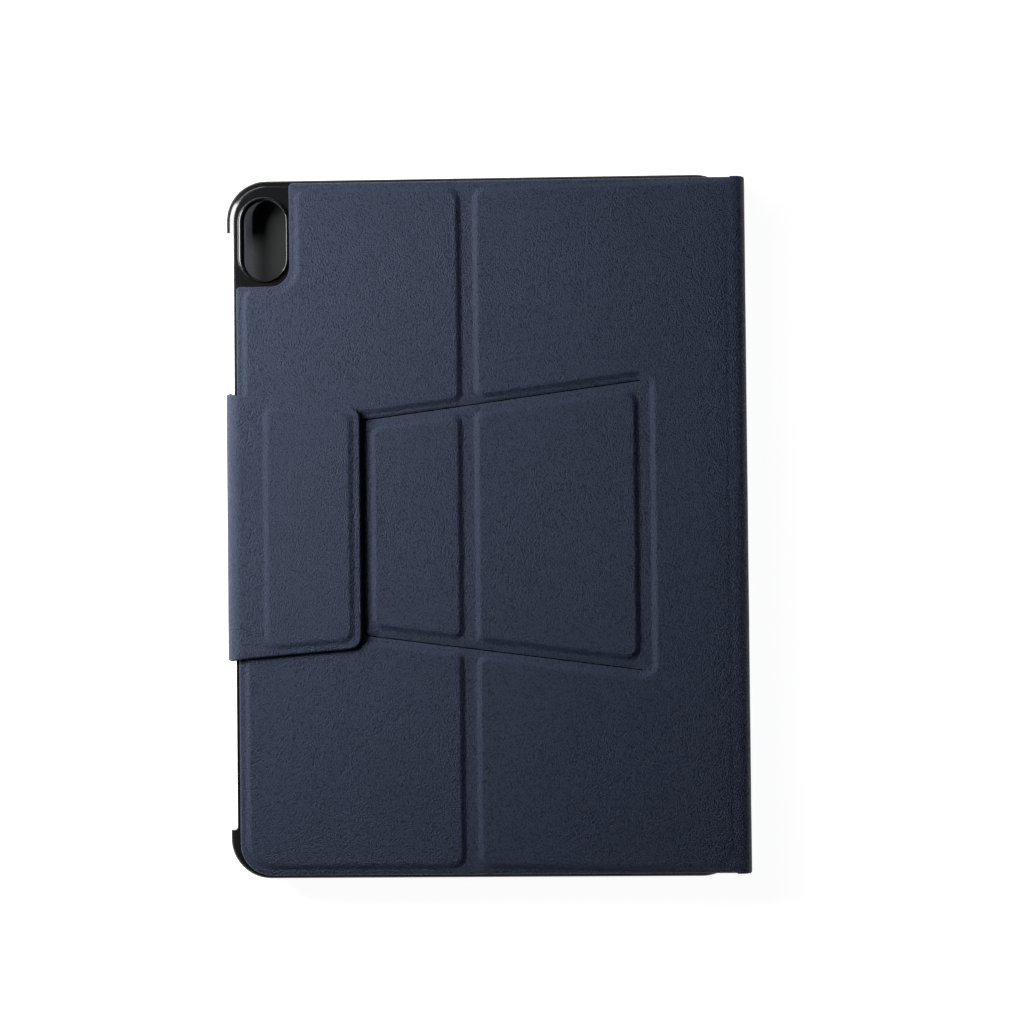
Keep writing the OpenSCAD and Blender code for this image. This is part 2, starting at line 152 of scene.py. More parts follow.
def dist(poly, pts, closed=True):
    poly, pts = np.asarray(poly, float), np.asarray(pts, float)
    a = poly if closed else poly[:-1]
    b = np.roll(poly, -1, 0) if closed else poly[1:]
    best = np.full(len(pts), 1e9)
    for k in range(0, len(a), 40):
        A, B = a[k:k + 40], b[k:k + 40]
        d = B - A
        L = (d ** 2).sum(1) + 1e-12
        v = pts[:, None, :] - A[None]
        t = np.clip((v * d[None]).sum(2) / L, 0, 1)
        w = v - t[..., None] * d[None]
        best = np.minimum(best, np.sqrt((w ** 2).sum(2)).min(1))
    return best


def sdist(poly, pts):
    return np.where(inside(poly, pts), 1, -1) * dist(poly, pts)


def sm(t):
    t = np.clip(t, 0, 1)
    return t * t * (3 - 2 * t)


# ------------------------------------------------------------------ sheets
def skin(name, outer, holes=(), rings=(), pts=(), lines=(), grid=5.0, top=None, bot=None, place=None, keep=None, sharp=42):
    """A closed sheet over outline `outer` less `holes`. rings and lines are further polylines that the
    mesh follows. top and bot give the two faces' heights over (x, u); place maps (x, u, h) to the row frame, mm."""
    loops = [list(outer)] + [list(h) for h in holes] + [list(r) for r in rings]
    V, E, index = [], [], {}

    def add(p):
        k = (round(p[0], 3), round(p[1], 3))
        if k not in index:
            index[k] = len(V)
            V.append(k)
        return index[k]

    for L in loops:
        ids = [add(p) for p in L]
        E += [(a, b) for a, b in zip(ids, ids[1:] + ids[:1]) if a != b]
    for L in lines:
        ids = [add(p) for p in L]
        E += [(a, b) for a, b in zip(ids, ids[1:]) if a != b]
    for p in pts:
        add(p)
    arr = np.array(V)
    lo, hi = arr.min(0), arr.max(0)
    if grid:
        gx = np.arange(lo[0] + grid / 2, hi[0], grid)
        gy = np.arange(lo[1] + grid / 2, hi[1], grid)
        g = np.stack(np.meshgrid(gx, gy), -1).reshape(-1, 2)
        ok = inside(outer, g)
        for h in holes:
            ok &= ~inside(h, g)
        g = g[ok]
        allp = [q for L in loops for q in L] + [q for L in lines for q in L]
        allp = np.array(allp)
        far = np.ones(len(g), bool)
        for k in range(0, len(allp), 200):
            far &= ((g[:, None, :] - allp[None, k:k + 200]) ** 2).sum(2).min(1) > (grid * 0.45) ** 2
        for p in g[far]:
            add(p)
    vs = [Vector(v) for v in V]
    r = delaunay_2d_cdt(vs, list(set(tuple(sorted(e)) for e in E)), [], 0, 1e-5)
    P2 = np.array([(v.x, v.y) for v in r[0]])
    F = np.array([f for f in r[2] if len(f) == 3])
    C = P2[F].mean(1)
    ok = inside(outer, C)
    for h in holes:
        ok &= ~inside(h, C)
    a, b, c = P2[F[:, 0]], P2[F[:, 1]], P2[F[:, 2]]
    area = (b[:, 0] - a[:, 0]) * (c[:, 1] - a[:, 1]) - (b[:, 1] - a[:, 1]) * (c[:, 0] - a[:, 0])
    ok &= np.abs(area) > 1e-7
    F, area = F[ok], area[ok]
    F[area < 0] = F[area < 0][:, ::-1]
    used = np.unique(F)
    remap = -np.ones(len(P2), int)
    remap[used] = np.arange(len(used))
    P2, F = P2[used], remap[F]
    n = len(P2)
    zt = np.broadcast_to(top(P2) if callable(top) else top, n)
    zb = np.broadcast_to(bot(P2) if callable(bot) else bot, n)
    if place is None:
        T = np.column_stack([P2, zt])
        B = np.column_stack([P2, zb])
    else:
        T, B = place(P2, zt), place(P2, zb)
    co = np.vstack([T, B]) * MM
    faces = [tuple(f) for f in F] + [tuple(int(k) + n for k in f[::-1]) for f in F]
    count = {}
    for f in F:
        for i in range(3):
            e = (int(f[i]), int(f[(i + 1) % 3]))
            count[e] = 1
    for (i, j) in list(count):
        if (j, i) not in count:
            faces.append((j, i, i + n, j + n))
    me = bpy.data.meshes.new(name)
    me.from_pydata([tuple(v) for v in co], [], [tuple(int(k) for k in f) for f in faces])
    me.validate()
    bm = bmesh.new()
    bm.from_mesh(me)
    bmesh.ops.recalc_face_normals(bm, faces=bm.faces)
    bm.to_mesh(me)
    bm.free()
    return make(name, me, sharp)


def make(name, me, sharp=40):
    for p in me.polygons:
        p.use_smooth = True
    if sharp:
        me.set_sharp_from_angle(angle=math.radians(sharp))
    ob = bpy.data.objects.new(name, me)
    scene.collection.objects.link(ob)
    return ob


def path_map(path):
    """(x, u, h) -> (x, y, z) along a polyline path in (y, z); h goes out along its left-hand normal."""
    P = np.array(path, float)
    P = P[np.concatenate([[True], (np.diff(P, axis=0) ** 2).sum(1) > 1e-8])]
    seg = np.sqrt((np.diff(P, axis=0) ** 2).sum(1))
    U = np.concatenate([[0], np.cumsum(seg)])
    T = np.gradient(P, U, axis=0)
    T /= np.sqrt((T ** 2).sum(1))[:, None]
    N = np.column_stack([-T[:, 1], T[:, 0]])

    def f(p, h):
        u = p[:, 1]
        y = np.interp(u, U, P[:, 0])
        z = np.interp(u, U, P[:, 1])
        ny = np.interp(u, U, N[:, 0])
        nz = np.interp(u, U, N[:, 1])
        L = np.sqrt(ny ** 2 + nz ** 2)
        return np.column_stack([p[:, 0], y + h * ny / L, z + h * nz / L])
    return f, U[-1]


def arc_pts(cy, cz, r, a0, a1, n=12):
    return [(cy + r * math.cos(math.radians(a0 + (a1 - a0) * k / n)), cz + r * math.sin(math.radians(a0 + (a1 - a0) * k / n))) for k in range(n + 1)]


def dense(path, step=1.0):
    out = [path[0]]
    for a, b in zip(path, path[1:]):
        L = math.dist(a, b)
        m = max(1, int(math.ceil(L / step)))
        out += [(a[0] + (b[0] - a[0]) * k / m, a[1] + (b[1] - a[1]) * k / m) for k in range(1, m + 1)]
    return out


def wob(p, amp=0.03, size=38.0, seed=0.0):
    return np.array([amp * noise.noise(Vector((x / size, y / size, seed))) + amp * 0.35 * noise.noise(Vector((x / size * 3.1, y / size * 3.1, seed + 7))) for x, y in p])


def roll(e, r):
    """drop of a rolled edge of radius r at distance e from the edge"""
    q = np.clip(r - e, 0, r)
    return r - np.sqrt(np.maximum(r * r - q * q, 0))


EDGE = [0.1, 0.25, 0.45, 0.7, 1.0]     # insets of the rings at an edge
SLOPE = [-1.5, -1.2, -0.9, -0.6, -0.3, 0.0, 0.3, 0.6, 0.9, 1.2, 1.5, 2.1]


def emboss(sd, h, w=1.5):
    return h * sm((sd + w) / (2 * w))


def bw(y):
    return 39.0 + (y + 44.5) * 0.1327

# ------------------------------------------------------------------ the camera and the light
# The view looks straight down on the back of the closed case, with the case's +Y to the right of the
# picture and its -X to the top.
def rot(axis, a):
    return Matrix.Rotation(a, 3, axis)


CAM_D, CAM_F = 0.9, 2481.0
ax, ay, roll_a, shx, shy = -0.0176, -0.0357, 0.0101, -24.4, -14.6
B = Matrix(((0, 1, 0), (-1, 0, 0), (0, 0, 1)))          # rows: the picture's right, up and towards the camera
R = rot('Z', roll_a) @ rot('X', ax) @ rot('Y', ay) @ B
target = Vector((0, 0, 0.015))
cam = bpy.data.cameras.new("camera")
cam_ob = bpy.data.objects.new("camera", cam)
scene.collection.objects.link(cam_ob)
right, up, back = R[0], R[1], R[2]
cam.sensor_fit = 'HORIZONTAL'
cam.sensor_width = 36.0
cam.lens = 36.0 * CAM_F / 1024
cam.clip_start, cam.clip_end = 0.05, 20
# the object sits off the middle of the picture, so the camera moves sideways rather than shifting
pos = target + back * CAM_D - right * (shx / CAM_F * CAM_D) - up * (shy / CAM_F * CAM_D)
M = Matrix((right, up, back)).transposed().to_4x4()
M.translation = pos
cam_ob.matrix_world = M
scene.camera = cam_ob

# ------------------------------------------------------------------ levels and outlines of the back
ZF, ZP = 17.9, 18.9          # groove floor and panel face
SEAM_Y = 88.8                # where the back meets the spine's skin
ROOT0, ROOT1 = 55.7, 58.5    # the strip that joins the brace to the lower back
SKX = 125.6
SKY0 = -90.6

leg_outer = [(-88.1, SKY0), (SKX, SKY0), (SKX, SEAM_Y), (-SKX, SEAM_Y), (-SKX, -71.2), (-88.1, -71.2)]
leg_R = [1.5, 11.5, 0.0, 0.0, 1.5, 7.0]


def slot_poly(y0, y1, g):
    return [(-bw(y0) - g, y0), (bw(y0) + g, y0), (bw(y1) + g, y1), (-bw(y1) - g, y1)]


def gap(y):
    return 0.2


hole = slot_poly(-45.0, ROOT1, 0.2)
hole_loop = rpoly(hole, [0.6, 0.6, 0, 0], 0, 2.0, 4)

g0 = 2.5                      # from the slit to the foot of the panels beside it
leg_panel = [(-86.0, -87.6), (122.4, -87.6), (122.4, -9.5), (bw(-9.5) + g0, -9.5), (bw(-48.2) + g0, -48.2),
             (-bw(-48.2) - g0, -48.2), (-bw(-9.5) - g0, -9.5), (-122.4, -9.5), (-122.4, -68.4), (-86.0, -68.4)]
leg_panel_R = [3, 9.5, 4.2, 3, 3, 3, 3, 4.2, 3, 8.5]
back_panel = [(bw(-3.5) + g0, -3.5), (122.4, -3.5), (124.4, 96.0), (-124.4, 96.0), (-122.4, -3.5), (-bw(-3.5) - g0, -3.5),
              (-bw(55.4) - g0, 55.4), (-bw(60.1) + 1.0, 60.1), (bw(60.1) - 1.0, 60.1), (bw(55.4) + g0, 55.4)]
back_panel_R = [3, 4.2, 9.0, 9.0, 4.2, 3, 2.5, 2.0, 2.0, 2.5]


board_edge = [(-123.4, 40.0), (123.4, 40.0), (123.4, 87.0), (-123.4, 87.0)]
board_edge_R = [2, 2, 9, 9]
ZS = ZP - 0.16                # height of the back where the spine begins


def panel_rings(P, Rr, offs=SLOPE, step=2.0):
    return [rpoly(P, Rr, d, step) for d in offs]


def ease(v, a, b):
    return sm((v - a) / (b - a))


def back_top(p):
    sd = np.maximum(sdist(rpoly(leg_panel, leg_panel_R, 0, 3.0), p), sdist(rpoly(back_panel, back_panel_R, 0, 3.0), p))
    z = ZF + emboss(sd, ZP - ZF, 1.3)
    # the panels are slightly crowned, and sink by a hair beside the slopes
    z += 0.05 * sm((sd - 1.5) / 14.0) - 0.05 * sm((sd - 1.5) / 3)
    z += wob(p, 0.035, 42.0, 3.0) * sm((sd + 0.5) / 6)
    edge = dist(rpoly(leg_outer, leg_R, 0, 3.0), p)
    # the board's edge barely shows where the back turns into the spine
    sb = sdist(rpoly(board_edge, board_edge_R, 0, 3.0), p)
    z -= 0.16 * (1 - sm((sb + 0.9) / 1.8)) * ease(p[:, 1], 76.0, 84.0)
    seam = p[:, 1] > SEAM_Y - 3
    side = np.minimum(np.abs(p[:, 0] - SKX), np.abs(p[:, 0] + SKX))
    edge = np.where(seam, side, edge)
    z -= roll(edge, 0.9)
    hs = dist(np.array([(-bw(ROOT0) - 0.2, ROOT0), (-bw(-45) - 0.2, -45.0), (bw(-45) + 0.2, -45.0), (bw(ROOT0) + 0.2, ROOT0)]), p, closed=False)
    z -= roll(hs, 0.4) * (1 - ease(p[:, 1], ROOT0 - 1.5, ROOT0))
    return z


fold_lines = [[(x, y) for x in np.arange(-124.0, -bw(y) - 1.5, 3.1)] for y in np.arange(-8.9, -4.0, 0.6)]
fold_lines += [[(-x, y) for x, y in L] for L in list(fold_lines)]
back_sheet = skin(
    "back_cover_skin", rpoly(leg_outer, leg_R, 0, 2.0),
    holes=[hole_loop],
    rings=[rpoly(leg_outer, leg_R, d, 2.0) for d in EDGE[:-1]]
    + panel_rings(leg_panel, leg_panel_R) + panel_rings(back_panel, back_panel_R)
    + [rpoly(board_edge, board_edge_R, d, 3.0) for d in (-0.9, -0.45, 0.0, 0.45, 0.9)],
    pts=[q for L in fold_lines for q in L], grid=6.0, top=back_top, bot=16.95)
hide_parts("lower_back_skin", "leg_skin")
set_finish(back_sheet, "leatherette")
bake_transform(back_sheet)

# ------------------------------------------------------------------ the brace
root_poly = [(-bw(ROOT0) - 0.2, ROOT0), (bw(ROOT0) + 0.2, ROOT0), (bw(ROOT1) + 0.2, ROOT1), (-bw(ROOT1) - 0.2, ROOT1)]


def root_top(p):
    sd = sdist(rpoly(back_panel, back_panel_R, 0, 3.0), p)
    return ZF + emboss(sd, ZP - ZF, 1.3) + wob(p, 0.035, 42.0, 3.0) * sm((sd + 0.5) / 6)


root = skin("brace_root_skin", rpoly(root_poly, [0] * 4, 0, 2.0),
            lines=[[(x, y) for x in np.arange(-51, 51.1, 2.0)] for y in np.arange(ROOT0 + 0.4, ROOT1 - 0.2, 0.4)],
            grid=0, top=root_top, bot=17.0)
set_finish(root, "leatherette")
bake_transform(root)

brace_outer = slot_poly(-44.5, ROOT0, -0.2)
brace_R = [3.0, 3.0, 0, 0]
tip_panel = [(-bw(-41.4) + 3.7, -41.4), (bw(-41.4) - 3.7, -41.4), (bw(-9.5) - 3.7, -9.5), (-bw(-9.5) + 3.7, -9.5)]
tip_panel_R = [4.0, 4.0, 2.4, 2.4]
low_panel = [(-bw(-3.5) + 3.7, -3.5), (bw(-3.5) - 3.7, -3.5), (bw(54.1) - 3.7, 54.1), (-bw(54.1) + 3.7, 54.1)]
low_panel_R = [2.8, 2.8, 4.0, 4.0]


def brace_top(p):
    sd = np.maximum(sdist(rpoly(tip_panel, tip_panel_R, 0, 3.0), p), sdist(rpoly(low_panel, low_panel_R, 0, 3.0), p))
    z = ZF + emboss(sd, ZP - ZF, 1.3) + wob(p, 0.035, 30.0, 9.0) * sm((sd + 0.5) / 6)
    z += 0.05 * sm((sd - 1.5) / 14.0) - 0.05 * sm((sd - 1.5) / 3)
    edge = dist(np.array([(-bw(ROOT0) + 0.2, ROOT0), (-bw(-44.5) + 0.2, -44.5), (bw(-44.5) - 0.2, -44.5), (bw(ROOT0) - 0.2, ROOT0)]), p, closed=False)
    return z - roll(edge, 0.4) * (1 - ease(p[:, 1], ROOT0 - 1.5, ROOT0))


brace_sheet = skin("brace_cover_skin", rpoly(brace_outer, brace_R, 0, 2.0),
                   rings=panel_rings(tip_panel, tip_panel_R) + panel_rings(low_panel, low_panel_R),
                   pts=[(x, y) for y in np.arange(-8.6, -4.2, 0.5) for x in np.arange(-43.5, 43.6, 2.4)],
                   grid=5.0, top=brace_top, bot=16.95)
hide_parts("brace_skin", "brace_tip_skin")
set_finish(brace_sheet, "leatherette")
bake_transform(brace_sheet)

# ------------------------------------------------------------------ the spine and the outer cover
SPX = 125.8


def skin_along(name, path, half_w, top, thick, panels=(), grid_x=4.0, ends=(False, False), r_edge=0.7, shape=None, open_end=False, extra=()):
    """A sheet along a path in (y, z): x across, u along the path, h out of its left side."""
    f, L = path_map(path)
    outer = shape(L) if shape else ([(-half_w, 0), (half_w, 0), (half_w, L), (-half_w, L)], [0, 0, 0, 0])
    loop = rpoly(outer[0], outer[1], 0, 1.5)

    def t(p):
        h = top(p, L) if callable(top) else np.full(len(p), float(top))
        e = half_w - np.abs(p[:, 0]) if not shape else dist(loop, p)
        if not shape:
            if ends[0]:
                e = np.minimum(e, p[:, 1])
            if ends[1]:
                e = np.minimum(e, L - p[:, 1])
        else:
            e = np.where(p[:, 1] < 2.0, half_side(outer[0], p), e)
            if open_end:
                e = np.where(p[:, 1] > L - 2.0, half_side(outer[0], p), e)
        return h - roll(e, r_edge)

    def half_side(poly, p):
        t_ = p[:, 1] / poly[2][1]
        return np.minimum(poly[1][0] + (poly[2][0] - poly[1][0]) * t_ - p[:, 0], p[:, 0] - poly[0][0] - (poly[3][0] - poly[0][0]) * t_)
    U = np.concatenate([[0], np.cumsum([math.dist(a, b) for a, b in zip(path, path[1:])])])
    xs = np.arange(-half_w + 1.5, half_w - 1.0, grid_x)
    pts = [(x, u) for u in U[1:-1] for x in xs]
    if shape:
        ins = inside(loop, np.array(pts)) & (dist(loop, np.array(pts)) > 1.1)
        pts = [q for q, k in zip(pts, ins) if k]
    rings = [rpoly(outer[0], outer[1], d, 1.5) for d in (0.12, 0.3, 0.55, 0.8)] if shape or any(ends) else []
    lines = [] if shape else [[(s * (half_w - d), u) for u in U] for d in (0.12, 0.3, 0.55, 0.8) for s in (-1, 1)]
    if not shape:
        rings = []
    return skin(name, loop, rings=rings + [r for P, Rr in panels for r in panel_rings(P, Rr)], lines=lines,
                pts=list(pts) + list(extra), grid=0, top=t, bot=-thick, place=f), f, L


# every path runs from the back over the spine, under the cover and up the closure, so its left-hand
# normal points out of the case
def leather(ob, a, b, start, end, *nodes):
    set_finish(ob, "leatherette")
    if nodes:
        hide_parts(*nodes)
    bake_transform(ob)
    return ob


up_path = dense([(SEAM_Y, ZS)] + arc_pts(90.5, 15.0, ZS - 15.0, 90, 0, 16) + [(94.24, 9.0)], 0.8)
spine_up, _, _ = skin_along("spine_upper_skin", up_path, SPX,
                            lambda p, L: wob(p, 0.05, 30.0, 21.0) * sm(np.minimum(p[:, 1], L - p[:, 1]) / 4), 0.75, grid_x=5.0)
leather(spine_up, "tray_and_lower_back", "spine", (0, 92.0, 17.5), (0, 94.5, 14.6), "spine_skin")

down_path = dense([(94.24, 9.0), (94.24, 3.2)] + arc_pts(91.49, 3.2, 2.75, 0, -90, 12) + [(88.6, 0.45)], 0.8)
down_path += [(y, 0.45) for y in np.arange(84, -90, -6.0)] + [(-91.0, 0.45), (-92.2, 0.45)]
_, down_L = path_map(down_path)
cover_panel_P = [(-124.2, 11.5), (124.2, 11.5), (124.2, down_L - 3.2), (-124.2, down_L - 3.2)]
cover_panel_R = [5, 5, 4, 4]


def cover_top(p, L):
    sd = sdist(rpoly(cover_panel_P, cover_panel_R, 0, 4.0), p)
    w = wob(p, 0.02, 45.0, 33.0) * sm(np.minimum(p[:, 1], L - p[:, 1]) / 4)
    return emboss(sd, 0.43, 1.4) + np.minimum(w, 0) * 1.0


cover_sheet, _, _ = skin_along("cover_outer_leather", down_path, 126.8, cover_top, 0.38,
                               panels=[(cover_panel_P, cover_panel_R)], grid_x=6.0,
                               shape=lambda L: ([(-126.8, 0), (126.8, 0), (126.8, L), (-126.8, L)], [0, 0, 5, 5]), r_edge=0.3)
leather(cover_sheet, "spine", "keyboard_cover", (0, 94.6, 3.4), (0, 92.0, 0.9), "cover_outer_skin")

strip_path = dense([(-90.6, 0.62), (-92.0, 0.62)] + arc_pts(-92.0, 3.42, 2.8, -90, -180, 12) + [(-94.8, 9.0)], 0.8)
strip_sheet, _, _ = skin_along("closure_strip_leather", strip_path, 49.8, 0.0, 0.7, grid_x=4.0,
                               shape=lambda L: ([(-49.8, 0), (48.4, 0), (48.4, L), (-49.8, L)], [0, 0, 0, 0]), open_end=True)
leather(strip_sheet, "keyboard_cover", "closure_strip", (0, -92.0, 0.9), (0, -94.6, 3.4), "closure_strip_skin")

FLZ = 20.55
flap_path = dense([(-94.8, 9.0), (-94.8, 14.55)] + arc_pts(-88.8, 14.55, 6.0, 180, 90, 20) + [(-88.0, FLZ)], 0.6)
flap_path += [(y, FLZ) for y in np.arange(-87.0, -46.0, 2.0)] + [(-45.6, FLZ)]
_, flap_L = path_map(flap_path)


def flap_hw(u):
    return 48.6 + (43.5 - 48.6) * u / flap_L


fp0, fp1 = flap_L - 34.4, flap_L - 3.4
flap_panel_P = [(-flap_hw(fp0) + 2.6, fp0), (flap_hw(fp0) - 3.4, fp0), (flap_hw(fp1) - 3.2, fp1), (-flap_hw(fp1) + 2.6, fp1)]
flap_panel_R = [3.5, 3.5, 4.0, 4.0]


def flap_top(p, L):
    sd = sdist(rpoly(flap_panel_P, flap_panel_R, 0, 3.0), p)
    w = wob(p, 0.05, 28.0, 55.0) * sm(np.minimum(p[:, 1], L - p[:, 1] + 4) / 6)
    return emboss(sd, 0.72, 1.3) + w


def flap_shape(L):
    return [(-49.8, 0), (48.4, 0), (43.5, L), (-43.5, L)], [0, 0, 4.6, 4.6]


flap_sheet, _, _ = skin_along("closure_flap_leather", flap_path, 48.6, flap_top, 0.9, panels=[(flap_panel_P, flap_panel_R)],
                              grid_x=3.5, shape=flap_shape, r_edge=0.7)
leather(flap_sheet, "closure_strip", "closure_flap", (0, -94.8, 14.0), (0, -88.6, 20.5), "closure_flap_skin")


# ------------------------------------------------------------------ linings at the folds
def cloth(ob, a, b, start, end, *nodes):
    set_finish(ob, "microfibre_lining")
    if nodes:
        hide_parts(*nodes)
    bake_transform(ob)
    return ob


strip_lin, _, _ = skin_along("closure_strip_inner", strip_path[2:], 48.1, -0.68, 1.1, grid_x=6.0, r_edge=0.2)
cloth(strip_lin, "keyboard_cover", "closure_strip", (0, -92.0, 0.9), (0, -94.6, 3.4), "closure_strip_lining")
flap_lin, _, _ = skin_along("closure_flap_inner", flap_path, 48.1, -0.88, 1.32, grid_x=4.0,
                            shape=lambda L: ([(-48.1, 0), (48.1, 0), (43.0, L - 0.5), (-43.0, L - 0.5)], [0, 0, 4.2, 4.2]), r_edge=0.2)
cloth(flap_lin, "closure_strip", "closure_flap", (0, -94.8, 14.0), (0, -88.6, 20.5), "closure_flap_lining")
in_low = dense([(92.32, 8.0), (92.32, 4.9)] + arc_pts(89.9, 4.9, 2.42, 0, -90, 10) + [(87.6, 2.48)], 0.7)
fold_lin_a, _, _ = skin_along("spine_lower_inner", in_low, 125.6, 0.0, 0.3, grid_x=8.0, r_edge=0.12)
cloth(fold_lin_a, "spine", "keyboard_cover", (0, 92.3, 5.2), (0, 89.9, 2.6))
in_up = dense([(87.2, 16.92), (90.6, 16.92)] + arc_pts(90.6, 15.2, 1.72, 90, 0, 8) + [(92.32, 10.5)], 0.7)
fold_lin_b, _, _ = skin_along("spine_upper_inner", in_up, 125.6, 0.0, 0.3, grid_x=8.0, r_edge=0.12)
cloth(fold_lin_b, "tray_and_lower_back", "spine", (0, 90.9, 16.9), (0, 92.3, 14.8))


# ------------------------------------------------------------------ the tray
def stack(name, rings, cap0, cap1, sharp=35):
    """Closed solid from rings of equal counts; cap0 and cap1 close its two ends."""
    bm = bmesh.new()
    rows = [[bm.verts.new((x * MM, y * MM, z * MM)) for x, y, z in r] for r in rings]
    n = len(rows[0])
    for A, Bb in zip(rows, rows[1:]):
        for i in range(n):
            j = (i + 1) % n
            bm.faces.new((A[i], A[j], Bb[j], Bb[i]))
    if cap0:
        bm.faces.new(rows[0][::-1])
    if cap1:
        bm.faces.new(rows[-1])
    if not cap0 and not cap1:
        for i in range(n):
            j = (i + 1) % n
            bm.faces.new((rows[-1][i], rows[-1][j], rows[0][j], rows[0][i]))
    bmesh.ops.recalc_face_normals(bm, faces=bm.faces)
    me = bpy.data.meshes.new(name)
    bm.to_mesh(me)
    bm.free()
    return make(name, me, sharp)


def cut(ob, cutters, op='DIFFERENCE'):
    for c in cutters:
        m = ob.modifiers.new("b", 'BOOLEAN')
        m.operation, m.solver, m.object = op, 'EXACT', c
    dg = bpy.context.evaluated_depsgraph_get()
    me = bpy.data.meshes.new_from_object(ob.evaluated_get(dg))
    ob.modifiers.clear()
    old = ob.data
    ob.data = me
    bpy.data.meshes.remove(old)
    for c in cutters:
        bpy.data.objects.remove(c)
    return ob


def prism(P, Rr, z0, z1, nc=6, step=50, axis='z'):
    loop = rpoly(P, Rr, 0, step, nc)
    tr = (lambda a, b, c: (a, b, c)) if axis == 'z' else (lambda a, b, c: (c, a, b))
    return stack("cutter", [[tr(x, y, z0) for x, y in loop], [tr(x, y, z1) for x, y in loop]], True, True)


tray_P = [(-126.9, -94.3), (126.9, -94.3), (126.9, 90.5), (-126.9, 90.5)]
tray_R = [14.5, 14.5, 14, 14]
prof = [(5.5, 9.0), (5.5, 8.45), (5.25, 8.25), (0.9, 8.25), (0.45, 8.4), (0.15, 8.75), (0.0, 9.3), (0.0, 13.0)]
prof += [(0.0, 14.5), (0.05, 14.7), (0.15, 14.85), (0.3, 14.99)]
for i in range(12):             # a crowned bevel, steeper towards the outside
    prof.append((prof[-1][0] + 0.27, prof[-1][1] + 0.27 * math.tan(math.radians(42 - 3.4 * i))))
inner = [(2.6, 15.1), (2.6, 9.0)]
rings3 = [[(x, y, z) for x, y in rpoly(tray_P, tray_R, d, 12.0, 16)] for d, z in inner + prof]
tray = stack("tray_shell", rings3, True, True, 30)
cam_in = [(-119.5, -87.7), (-90.4, -87.7), (-90.4, -72.8), (-119.5, -72.8)]
cam_out = [(-121.0, -90.1), (-89.5, -90.1), (-89.5, -71.1), (-121.0, -71.1)]
cutters = [
    prism([(-108, -99), (109.2, -99), (109.2, -91.7), (-108, -91.7)], [0, 0, 1.2, 1.2], 7, 20),
    prism([(-108, -99), (109.2, -99), (109.2, -86.5), (-108, -86.5)], [0, 0, 1.2, 1.2], 7, 15.1),
    prism(cam_in, [7.4] * 4, 14, 20, 14),
    prism([(-8.6, 9.6), (4.4, 9.6), (4.4, 14.6), (-8.6, 14.6)], [2.4] * 4, 122.8, 130, 8, axis='x'),
    prism([(-78, 9.6), (-60, 9.6), (-60, 14.6), (-78, 14.6)], [2.2] * 4, -130, -122.8, 8, axis='x'),
]
for y0 in (-52, 32):
    for i in range(5):
        y = y0 + 5 * i
        for x0, x1 in ((122.8, 130), (-130, -122.8)):
            cutters.append(prism([(y, 11), (y + 3, 11), (y + 3, 13.2), (y, 13.2)], [1.05] * 4, x0, x1, 5, axis='x'))
cut(tray, cutters)
bev = tray.modifiers.new("bevel", 'BEVEL')
bev.width, bev.segments, bev.limit_method, bev.angle_limit = 0.22 * MM, 2, 'ANGLE', math.radians(50)
bev.harden_normals = False
dg = bpy.context.evaluated_depsgraph_get()
me = bpy.data.meshes.new_from_object(tray.evaluated_get(dg))
tray.modifiers.clear()
tray.data = me
for p in me.polygons:
    p.use_smooth = True
me.set_sharp_from_angle(angle=math.radians(20))
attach(tray, "tray_and_lower_back")
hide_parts("tray_back_plate", "tray_head_wall", "tray_foot_wall", "tray_spine_wall", "tray_lip")
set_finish(tray, "gloss_black_shell")

po, pi = rpoly(cam_out, [9.5] * 4, 0, 2.0, 16), rpoly(cam_in, [7.4] * 4, 0, 2.0, 16)
pi = rpoly([(-119.5, -87.7), (-90.4, -87.7), (-90.4, -72.8), (-119.5, -72.8)], [7.4] * 4, 0.0, 2.0, 16)
if len(po) != len(pi):
    m = len(po)
    pi = [pi[int(round(k * len(pi) / m)) % len(pi)] for k in range(m)]
rim_prof = [(0.0, 16.2), (0.0, 16.45), (0.06, 16.75), (0.16, 17.1), (0.28, 17.35), (0.42, 17.5), (0.55, 17.5), (0.66, 17.4), (0.72, 17.2),
            (0.78, 16.6), (0.86, 16.0), (0.95, 15.5), (1.0, 15.2), (0.9, 15.12), (0.5, 15.12), (0.2, 15.3)]
rim = stack("camera_window_rim", [[(a[0] + (b[0] - a[0]) * t, a[1] + (b[1] - a[1]) * t, z) for a, b in zip(po, pi)] for t, z in rim_prof], False, False, 40)
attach(rim, "tray_and_lower_back")
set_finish(rim, "gloss_black_shell")


# ------------------------------------------------------------------ keys
def islands(ob):
    me = ob.data
    par = list(range(len(me.vertices)))

    def find(a):
        while par[a] != a:
            par[a] = par[par[a]]
            a = par[a]
        return a
    for e in me.edges:
        a, b = find(e.vertices[0]), find(e.vertices[1])
        if a != b:
            par[a] = b
    box = {}
    for i, v in enumerate(me.vertices):
        k = find(i)
        c = [q / MM for q in v.co]
        if k in box:
            lo, hi = box[k]
            box[k] = ([min(a, b) for a, b in zip(lo, c)], [max(a, b) for a, b in zip(hi, c)])
        else:
            box[k] = (list(c), list(c))
    # the faces of one key can be separate islands, so boxes that share a place are joined
    keys = []
    for lo, hi in sorted(box.values(), key=lambda b: (round(b[0][1], 1), round(b[0][0], 1))):
        if min(hi[0] - lo[0], hi[1] - lo[1]) < 2:
            continue
        for m in keys:
            if all(lo[k] < m[1][k] and hi[k] > m[0][k] for k in (0, 1)):
                m[0][:] = [min(a, b) for a, b in zip(lo, m[0])]
                m[1][:] = [max(a, b) for a, b in zip(hi, m[1])]
                break
        else:
            keys.append((list(lo), list(hi)))
    return keys


